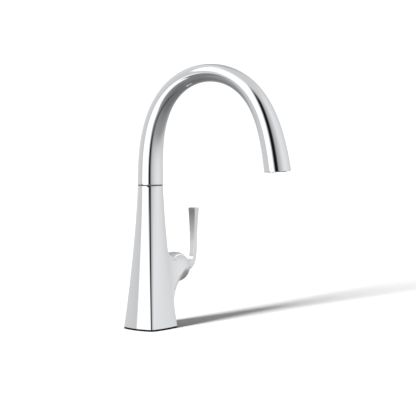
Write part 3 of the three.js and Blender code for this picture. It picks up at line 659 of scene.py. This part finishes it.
# The hose: grey nylon braid over a rubber tube, from the head's nut back over the arch and down
# through the column. It runs on the arch's centreline and leaves the head straight.
hose_radius = 0.0063
nut_top = 0.0233
dock_centre, dock_ahead, _ = (part[0] for part in on_arch(np.array([dock_run])))


def hose_line(run):
    """The hose's centre: the arch's line, drawn over to the head's own axis before the nut.

    Negative lengths go straight down the column.
    """
    centre, _, _ = on_arch(np.maximum(run, 0))
    centre[:, 2] += np.minimum(run, 0)
    straight = dock_centre + (run - dock_run)[:, None] * dock_ahead
    share = smooth(np.clip((run - dock_run + 0.085) / 0.055, 0, 1))[:, None]
    return centre + share * (straight - centre)


def hose_skin(low, high, steps):
    """Rings square to the hose's line, closed with a point at both ends, and the length of each."""
    run = np.linspace(low, high, steps)
    line = hose_line(run)
    ahead = unit(np.gradient(line, axis=0))
    outward = np.stack([ahead[:, 0], ahead[:, 2], -ahead[:, 1]], axis=-1)
    angle = full_turn(32)
    circle = np.cos(angle)[None, :, None] * np.array([1.0, 0.0, 0.0])
    circle = circle + np.sin(angle)[None, :, None] * outward[:, None, :]
    grid = line[:, None, :] + hose_radius * circle
    ends = [np.broadcast_to(line[at], (1, 32, 3)) for at in (0, -1)]
    length = np.concatenate([run[:1], run, run[-1:]])
    return np.concatenate([ends[0], grid, ends[1]]), length


def braid():
    """Flat strands that cross over and under, drawn on the length and the turn round the hose, with
    painted shade.
    """
    material, surface, wire = bare_material("braided_hose")
    uv = wire.add("UVMap", uv_map="run")
    turn_socket = wire.add("SeparateXYZ", {"Vector": uv}, output="X")
    run_socket = wire.add("SeparateXYZ", {"Vector": uv}, output="Y")
    left = (turn_socket * 12 + run_socket * 330).maths("FRACT")
    right = (turn_socket * 12 - run_socket * 330).maths("FRACT")
    left_crown = 4 * left * (1 - left)
    right_crown = 4 * right * (1 - right)
    height = left_crown.maths("MAXIMUM", right_crown)
    # Painted shade: the colour darkens from each strand's crown down its sides and into the gaps
    # between strands.
    shade = shade_between(wire, height, (0.045, 0.048, 0.052), (0.27, 0.285, 0.30))
    bump = wire.add("Bump", {"Strength": 0.8, "Distance": 0.0004, "Height": height})
    plug_in(surface, Base_Color=shade, Roughness=0.75 - 0.2 * height, Normal=bump)
    return material


hose_part = dock_run - 0.120
hose_braid = braid()
hose_grid, hose_length = hose_skin(-(spout_foot + 0.086), hose_part - 0.0001, 330)
lower_hose = mesh_of("hose_in_column", [(hose_grid, True, False, None)], uv=hose_length, crease=60.0)
finish_piece(lower_hose, hose_braid, "spout", "braided_hose", "pull_down_hose")
hose_grid, hose_length = hose_skin(hose_part, dock_run - nut_top, 260)
drawn = np.clip((hose_length - dock_run + nut_top + 0.036) / 0.032, 0, 1)
hose_length = hose_length + 0.200 * smooth(drawn)
upper_hose = mesh_of("hose_in_spout", [(hose_grid, True, False, None)], uv=hose_length, crease=60.0)
upper_hose.data.materials.append(hose_braid)
hose_from = hose_line(np.array([dock_run - nut_top - 0.036]))[0]
hose_to = hose_line(np.array([dock_run - nut_top - 0.004]))[0]
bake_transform(upper_hose)


# The dock: a plastic collar and a ring magnet inside the spout's end, which hold the head's stem.
def metal(name, tone, roughness):
    """Machined metal, darker and smoother in patches."""
    material, surface, wire = bare_material(name)
    cut = noise(wire, 120.0, 5.0)
    dark = tuple(value * 0.82 for value in tone)
    shade = shade_between(wire, cut, dark, tone)
    surface.inputs["Metallic"].default_value = 1.0
    bump = {"Strength": 0.08, "Distance": 0.0001, "Height": cut}
    plug_in(surface, Base_Color=shade, Roughness=roughness + 0.16 * cut,
            Normal=wire.add("Bump", bump))
    return material


steel = metal("stainless_steel", (0.60, 0.61, 0.62), 0.24)
brass = metal("plain_brass", (0.62, 0.45, 0.19), 0.26)
copper = metal("copper_tube", (0.72, 0.35, 0.20), 0.26)
dock_back = -dock_ahead
seat_radius = float(tube_radius(np.array(dock_run))) - 0.0037
collar = turned("dock_seat", [
    (0.0106, 0.0009), (0.0110, 0.0005), (seat_radius - 0.0003, 0.0005), (seat_radius, 0.0008),
    (seat_radius, 0.0094), (0.0106, 0.0094),
], dock_centre, dock_back)
finish_piece(collar, black_plastic, "spout", "black_plastic", "dock_collar")
magnet = turned("dock_ring_magnet", [
    (0.0106, 0.0097), (seat_radius - 0.0010, 0.0097), (seat_radius - 0.0008, 0.0099),
    (seat_radius - 0.0008, 0.0122), (0.0106, 0.0122),
], dock_centre, dock_back)
finish_piece(magnet, steel, "spout", "stainless_steel", "dock_magnet")


# The head's stem: grey plastic that slides into the dock, with a steel ring for the magnet and the
# brass nut that lets the hose turn.
grey_plastic = plastic("grey_plastic", (0.085, 0.092, 0.102))
stem = turned("head_stem", [
    (0.0045, -0.0055), (0.0101, -0.0055), (0.0101, 0.0015), (0.0098, 0.0018), (0.0098, 0.0030),
    (0.0101, 0.0033), (0.0101, 0.0086), (0.0097, 0.0092), (0.0077, 0.0102), (0.0077, 0.0132),
    (0.0045, 0.0132),
], dock_centre, dock_back)
finish_piece(stem, grey_plastic, "spray_head", "grey_plastic", "docking_stem")
strike = turned("magnet_ring", [
    (0.0080, 0.0105), (0.0099, 0.0105), (0.0101, 0.0107), (0.0101, 0.0128), (0.0099, 0.0130),
    (0.0080, 0.0130),
], dock_centre, dock_back)
finish_piece(strike, steel, "spray_head", "stainless_steel", "strike_ring")
nut = turned("hose_nut", [
    (0.0, 0.0135), (0.0074, 0.0135), (0.0078, 0.0139), (0.0078, 0.0155), (0.0072, 0.0158),
    (0.0072, 0.0162), (0.0078, 0.0165), (0.0078, 0.0191), (0.0075, 0.0196), (0.0067, 0.0230),
    (0.0, 0.0230),
], dock_centre, dock_back, closed=False)
finish_piece(nut, brass, "spray_head", "plain_brass", "hose_swivel_nut")


# The head's shell: chromed, in line with the spout, open at the outlet, with a window at its back
# for the toggle. The shell's wall is turned in at the lip.
toggle_run = dock_run + 0.036
window_half = (0.0056, 0.0142)
frame_half = (0.0110, 0.0185)
shell_wall = 0.0018
long_steps = 32
wide_steps = 16
shell_start = dock_run + 0.00002
before = np.linspace(shell_start + 0.0003, toggle_run - frame_half[1], 20)
beside = np.linspace(toggle_run - frame_half[1], toggle_run + frame_half[1], long_steps + 1)
after = np.linspace(toggle_run + frame_half[1], arch_length - 0.0008, 26)
lip_runs = [arch_length - 0.0003, arch_length - 0.00003, arch_length]
runs = np.concatenate([[shell_start], before, beside[1:], after[1:], lip_runs])
depths = np.zeros(len(runs))
depths[-3:] = (0.00012, 0.0005, 0.0009)
toggle_radius = float(tube_radius(np.array(toggle_run)))
half_turn = frame_half[0] / toggle_radius
inside_turn = np.linspace(-half_turn, half_turn, wide_steps + 1)
outside_turn = np.linspace(half_turn, 2 * math.pi - half_turn, 81)[1:-1]
shell_turn = np.concatenate([inside_turn, outside_turn]) - math.pi / 2
back_runs = runs[::-1][1:]
lip_lean = 0.10
all_runs = np.concatenate([runs, back_runs])[:, None]
near_lip = np.clip((all_runs - arch_length + 0.020) / 0.020, 0, 1) ** 2
all_runs = all_runs + near_lip * lip_lean * tip_radius * np.sin(shell_turn)[None, :]
shell_grid = on_skin(
    all_runs, shell_turn[None, :],
    np.concatenate([depths, np.full(len(back_runs), shell_wall)])[:, None],
)
shell_mask = np.ones((len(shell_grid), len(shell_turn)), dtype=bool)
first = len(before)
last = first + long_steps
shell_mask[first:last, :wide_steps] = False
mirror_first = 2 * len(runs) - 2 - last
shell_mask[mirror_first:mirror_first + long_steps, :wide_steps] = False


def frame_loop():
    """The square edge round the toggle, in order, as lengths from its middle and turns."""
    long = np.linspace(-frame_half[1], frame_half[1], long_steps + 1)
    wide = np.linspace(-half_turn, half_turn, wide_steps + 1)
    run = np.concatenate([
        np.full(wide_steps, long[0]), long[:-1], np.full(wide_steps, long[-1]), long[:0:-1],
    ])
    spin = np.concatenate([
        wide[:-1], np.full(long_steps, wide[-1]), wide[:0:-1], np.full(long_steps, wide[0]),
    ])
    return run, spin


def rounded_loop(half_wide, half_long):
    """A rounded oblong matched to the square edge: each point is drawn in along its own ray.

    On it, the seventh powers of the two shares of the half sizes add up to one.
    """
    power = 7.0
    run, spin = frame_loop()
    u = run / frame_half[1]
    v = spin / half_turn
    size = (np.abs(u) ** power + np.abs(v) ** power) ** (-1 / power)
    return u * size * half_long, v * size * half_wide / toggle_radius


def toggle_patch(half_wide, half_long, depth, to_half, to_depth, steps):
    """Skin between two rounded oblongs about the toggle's middle, at changing depth."""
    start = rounded_loop(half_wide, half_long)
    end = frame_loop() if to_half is None else rounded_loop(*to_half)
    share = np.linspace(0, 1, steps)[:, None]
    run = start[0] + (end[0] - start[0]) * share
    spin = start[1] + (end[1] - start[1]) * share
    return on_skin(toggle_run + run, spin - math.pi / 2, depth + (to_depth - depth) * share)


shell_piece = mesh_of("head_shell", [
    (shell_grid, True, True, shell_mask),
    (toggle_patch(*window_half, 0.0, None, 0.0, 7), True, False, None),
    (toggle_patch(*window_half, shell_wall, None, shell_wall, 7), True, False, None),
    (toggle_patch(*window_half, 0.0, window_half, shell_wall, 3), True, False, None),
])
finish_piece(shell_piece, polish, "spray_head", "polished_chrome", "spray_shell")


# The toggle: a chromed rocker on a steel pin that changes stream to spray. Its pad follows the
# skin, with a hollow for the thumb at each end; the lug and finger below it are the solid's own.
pad_half = (0.00504, 0.01304)
pad_depth = 0.0024


def toggle_top():
    """The pad's top: a low crown above the skin, pressed in at both ends."""
    share = np.concatenate([[0.0], np.linspace(0.1, 0.93, 16), [0.98, 1.0]])[:, None]
    run, spin = rounded_loop(*pad_half)
    run = run * share
    spin = spin * share
    lengthwise = (np.abs(run) - 0.0078) / 0.0028
    crosswise = spin * toggle_radius / 0.0036
    dish = 0.0007 * np.exp(-(lengthwise**2 + crosswise**2))
    depth = -0.0008 + dish + 0.0007 * share**14
    return on_skin(toggle_run + run, spin - math.pi / 2, depth)


pad_top = toggle_top()
pad_side = toggle_patch(*pad_half, -0.0001, pad_half, pad_depth, 3)
pad_under = toggle_patch(*pad_half, pad_depth, (0.00001, 0.00001), pad_depth, 6)
pad_under[-1] = pad_under[-1].mean(axis=0)
pad = mesh_of("toggle_pad", [
    (np.concatenate([pad_top, pad_side[1:], pad_under[1:]]), True, False, None),
])
finish_piece(pad, polish, "toggle", "polished_chrome")


# The outlet: a soft black pad with a ring of spray nozzles, the aerator's screen in its middle and
# a chromed ring round them, all behind the lip.
tip_centre, tip_ahead, tip_out = (part[0] for part in on_arch(np.array([arch_length])))


def face_point(radius, angle, height):
    """A point of the outlet by its radius and turn about the tip and its height up into the head."""
    radius, angle, height = np.broadcast_arrays(radius, angle, height)
    side = np.array([1.0, 0.0, 0.0]) * np.cos(angle)[..., None]
    side = side + tip_out * np.sin(angle)[..., None]
    height = height - lip_lean * radius * np.sin(angle)
    return tip_centre + radius[..., None] * side - height[..., None] * tip_ahead


def nozzle_pad():
    """A flat ring whose lower face stands out in fourteen small cones, closed by its upper face."""
    angle = full_turn(336)
    radius = np.concatenate([[0.0070], np.linspace(0.0072, 0.0142, 44), [0.0144]])[:, None]
    pitch = 2 * math.pi / 14
    nozzle_circle = 0.0114
    aside = (np.mod(angle + pitch / 2, pitch) - pitch / 2)[None, :] * nozzle_circle
    away = np.hypot(radius - nozzle_circle, aside)
    cone = np.clip((0.00135 - away) / 0.0006, 0, 1)
    bore_dip = np.clip((0.00045 - away) / 0.0002, 0, 1)
    height = 0.0008 - 0.0011 * smooth(cone) + 0.0006 * bore_dip
    height[[0, -1]] = 0.0010
    under = face_point(radius, angle[None, :], height)
    above = face_point(np.array([[0.0144], [0.0070]]), angle[None, :], 0.0022)
    return np.concatenate([under, above])


nozzles = mesh_of("nozzle_ring", [(nozzle_pad(), True, True, None)], crease=50.0)
finish_piece(nozzles, black_rubber, "spray_head", "black_rubber", "nozzle_pad")


def aerator_screen():
    """A disc with a domed face full of small pits in rings, and a plain back."""
    angle = full_turn(144)
    radius = np.linspace(0, 0.0060, 34)[:, None]
    ring_pitch = 0.0012
    ring_number = np.round(radius / ring_pitch)
    holes = np.maximum(1, ring_number * 6)
    pitch = 2 * math.pi / holes
    aside = (np.mod(angle[None, :] + pitch / 2, pitch) - pitch / 2) * np.maximum(radius, 1e-5)
    away = np.hypot(radius - ring_number * ring_pitch, aside)
    pit = np.clip((0.00042 - away) / 0.00018, 0, 1)
    height = 0.0012 + 0.0006 * pit
    height[0] = height[0].mean()
    rim_radius = np.array([0.0061, 0.0063, 0.0064, 0.0064, 0.0])[:, None]
    rim_height = np.array([0.0008, 0.0006, 0.0008, 0.0095, 0.0095])[:, None]
    rim = face_point(rim_radius, angle[None, :], rim_height)
    return np.concatenate([face_point(radius, angle[None, :], height), rim])


screen = mesh_of("aerator_screen", [(aerator_screen(), True, False, None)], crease=50.0)
finish_piece(screen, grey_plastic, "spray_head", "grey_plastic", "aerator_insert")
lip_radius = tip_radius - 0.0023
ring_profile = np.array([
    (0.0149, 0.0028), (0.0149, 0.0007), (0.0151, 0.0005), (lip_radius - 0.0002, 0.0005),
    (lip_radius, 0.0007), (lip_radius, 0.0028),
])
ring_turn = full_turn(96)
ring_grid = face_point(ring_profile[:, :1], ring_turn[None, :], ring_profile[:, 1:])
lip_ring = mesh_of("outlet_ring", [(ring_grid, True, True, None)])
finish_piece(lip_ring, polish, "spray_head", "polished_chrome", "face_ring")


# The handle: a chromed ball cap over the valve whose arm runs out and turns up into a slender
# blade, thin at its waist and wider at the top. Its skirt slips inside the hub's rim.
cap_radius = 0.0232
cap_wall = 0.0028
stations = np.array([
    # inner x, inner z, outer x, outer z, width, corner radius
    (0.0240, 0.0068, 0.0245, -0.0076, 0.0130, 0.0046),
    (0.0290, 0.0066, 0.0300, -0.0068, 0.0120, 0.0034),
    (0.0330, 0.0070, 0.0354, -0.0042, 0.0112, 0.0022),
    (0.0366, 0.0084, 0.0408, 0.0006, 0.0106, 0.0013),
    (0.0390, 0.0112, 0.0446, 0.0068, 0.0102, 0.0009),
    (0.0403, 0.0152, 0.0464, 0.0136, 0.0100, 0.0007),
    (0.0410, 0.0230, 0.0475, 0.0230, 0.0099, 0.0006),
    (0.0414, 0.0340, 0.0479, 0.0340, 0.0099, 0.0005),
    (0.0415, 0.0480, 0.0481, 0.0480, 0.0102, 0.0005),
    (0.0413, 0.0640, 0.0487, 0.0640, 0.0114, 0.0005),
    (0.0409, 0.0780, 0.0496, 0.0780, 0.0128, 0.0005),
    (0.0404, 0.0897, 0.0506, 0.0897, 0.0141, 0.0005),
])


def through(points, count):
    """Smooth rows through the stations: cubic pieces with the mean slope at each station."""
    span = np.linalg.norm(np.diff(points[:, :4], axis=0), axis=1)
    at = np.concatenate([[0.0], span.cumsum()])
    slope = np.gradient(points, at, axis=0)
    where = np.linspace(0, at[-1], count)
    piece = np.clip(np.searchsorted(at, where, side="right") - 1, 0, len(span) - 1)
    t = ((where - at[piece]) / span[piece])[:, None]
    width = span[piece][:, None]
    rows = (2 * t**3 - 3 * t**2 + 1) * points[piece] + (t**3 - 2 * t**2 + t) * width * slope[piece]
    rows = rows + (3 * t**2 - 2 * t**3) * points[piece + 1]
    return rows + (t**3 - t**2) * width * slope[piece + 1]


def blade_section(rows):
    """Round-cornered oblongs between the inner and outer lines, the first point on the inner line.

    Four sides and four quarter circles, walked from the middle of the inner side towards the front.
    """
    flats = 7
    bends = 6
    inner = rows[:, 0:2]
    outer = rows[:, 2:4]
    half_deep = np.linalg.norm(outer - inner, axis=1)[:, None] / 2
    half_wide = rows[:, 4:5] / 2
    corner = np.minimum(rows[:, 5:6], np.minimum(half_deep, half_wide) * 0.95)
    quarter = np.radians(np.linspace(0, 90, bends + 1))[None, :]
    side = np.linspace(0, 1, flats + 1)[None, :-1]
    wide_part = [(half_wide - corner) * side, half_wide - corner + corner * np.sin(quarter)]
    deep_part = [np.broadcast_to(half_deep, (len(rows), flats)),
                 half_deep - corner + corner * np.cos(quarter)]
    down = np.linspace(0, 1, flats + 2)[None, 1:-1]
    wide = np.concatenate([*wide_part, np.broadcast_to(half_wide, (len(rows), flats))], axis=1)
    deep = np.concatenate([*deep_part, (half_deep - corner) * (1 - down)], axis=1)
    zero = np.zeros((len(rows), 1))
    wide = np.concatenate([wide, half_wide, wide[:, :0:-1], zero, -wide[:, 1:], -half_wide,
                           -wide[:, :0:-1]], axis=1)
    deep = np.concatenate([deep, zero, -deep[:, :0:-1], -half_deep, -deep[:, 1:], zero,
                           deep[:, :0:-1]], axis=1)
    middle = (inner + outer) / 2
    away = unit(inner - outer)
    x = hub_reach + middle[:, :1] + deep * away[:, :1]
    z = hub_height + middle[:, 1:] + deep * away[:, 1:]
    return np.stack([x, -wide, z], axis=-1)


def handle_grid():
    """The whole handle as rows of points from the cap's inside to the blade's end.

    Inner ball, leaning skirt edge, outer ball, a cubic bridge to the arm, the blade and its end.
    """
    blade = blade_section(through(stations, 150))
    root = blade[0]
    angle = np.unwrap(np.arctan2(-root[:, 1], root[:, 2] - hub_height))
    lean = 13.25 + 11.25 * np.cos(angle)
    skirt = np.radians(90 + lean)
    inside = np.linspace(0, 1, 14)[:, None] * skirt
    outside = skirt + np.linspace(0, 1, 40)[1:, None] * (np.radians(40) - skirt)

    def ball(radius, polar):
        """Points of a ball about the hub's end by their angle from the hub's axis."""
        around_axis = radius * np.sin(polar)
        return np.stack([
            hub_reach + radius * np.cos(polar), -around_axis * np.sin(angle),
            hub_height + around_axis * np.cos(angle),
        ], axis=-1)

    inner_rows = ball(cap_radius - cap_wall, inside)
    outer_rows = ball(cap_radius, np.concatenate([skirt[None, :], outside]))
    leave = unit(outer_rows[-1] - outer_rows[-2]) * 0.010
    arrive = unit(blade[1] - blade[0]) * 0.008
    t = np.linspace(0, 1, 18)[1:-1, None, None]
    bridge = (2 * t**3 - 3 * t**2 + 1) * outer_rows[-1] + (t**3 - 2 * t**2 + t) * leave
    bridge = bridge + (3 * t**2 - 2 * t**3) * root + (t**3 - t**2) * arrive
    end = blade[-1]
    middle = end.mean(axis=0)
    rise = np.array([0.0, 0.0, 0.0003])
    bevel = end + (middle - end) * 0.07 + rise
    tip = np.broadcast_to(middle + rise, end.shape)
    return np.concatenate([inner_rows, outer_rows, bridge, blade, bevel[None], tip[None]])


handle = mesh_of("handle", [(handle_grid(), True, False, None)], crease=40.0)
finish_piece(handle, polish, "handle", "polished_chrome", "handle_lever")


# The pieces inside keep the solids' shapes: the valve's cartridge, the swivel's rings, and the
# hardware that clamps the faucet from below the deck.
def ceramic(name):
    """Off-white sintered ceramic, lapped smooth."""
    material, surface, wire = bare_material(name)
    cloud = noise(wire, 160.0, 4.0)
    shade = shade_between(wire, cloud, (0.80, 0.78, 0.73), (0.90, 0.89, 0.86))
    plug_in(surface, Base_Color=shade, Roughness=0.18 + 0.14 * cloud)
    return material


white_plastic = plastic("white_plastic", (0.70, 0.70, 0.675), 0.36)
dressing = {
    "toggle_rocker": polish,
    "toggle_pin": steel, "retaining_clip": steel, "stem_pin": steel, "handle_set_screw": steel,
    "clamp_washer_steel": steel, "jack_screw_1": steel, "jack_screw_2": steel,
    "swivel_o_ring": black_rubber, "cartridge_seal": black_rubber,
    "clamp_washer_rubber": black_rubber,
    "swivel_sleeve": brass, "diverter_spool": brass, "cartridge_nut": brass,
    "cartridge_stem": brass, "mounting_shank": brass, "mounting_nut": brass,
    "hose_tail_connector": brass, "hot_fitting": brass, "cold_fitting": brass,
    "mixed_fitting": brass,
    "hot_supply_stub": copper, "cold_supply_stub": copper, "mixed_supply_stub": copper,
    "spray_core": grey_plastic, "spray_plate": grey_plastic, "index_plug": grey_plastic,
    "lower_wear_ring": white_plastic, "upper_wear_ring": white_plastic,
    "cartridge_base": white_plastic, "cartridge_housing": white_plastic,
    "stem_carrier": white_plastic, "shank_spacer": black_plastic,
    "fixed_ceramic_disc": ceramic("white_ceramic"),
}
dressing["moving_ceramic_disc"] = dressing["fixed_ceramic_disc"]
for node_name, material in dressing.items():
    shown = nodes[node_name]
    if not shown.data.materials:
        shown.data.materials.append(material)
    for slot_number in range(len(shown.material_slots)):
        shown.material_slots[slot_number].material = material
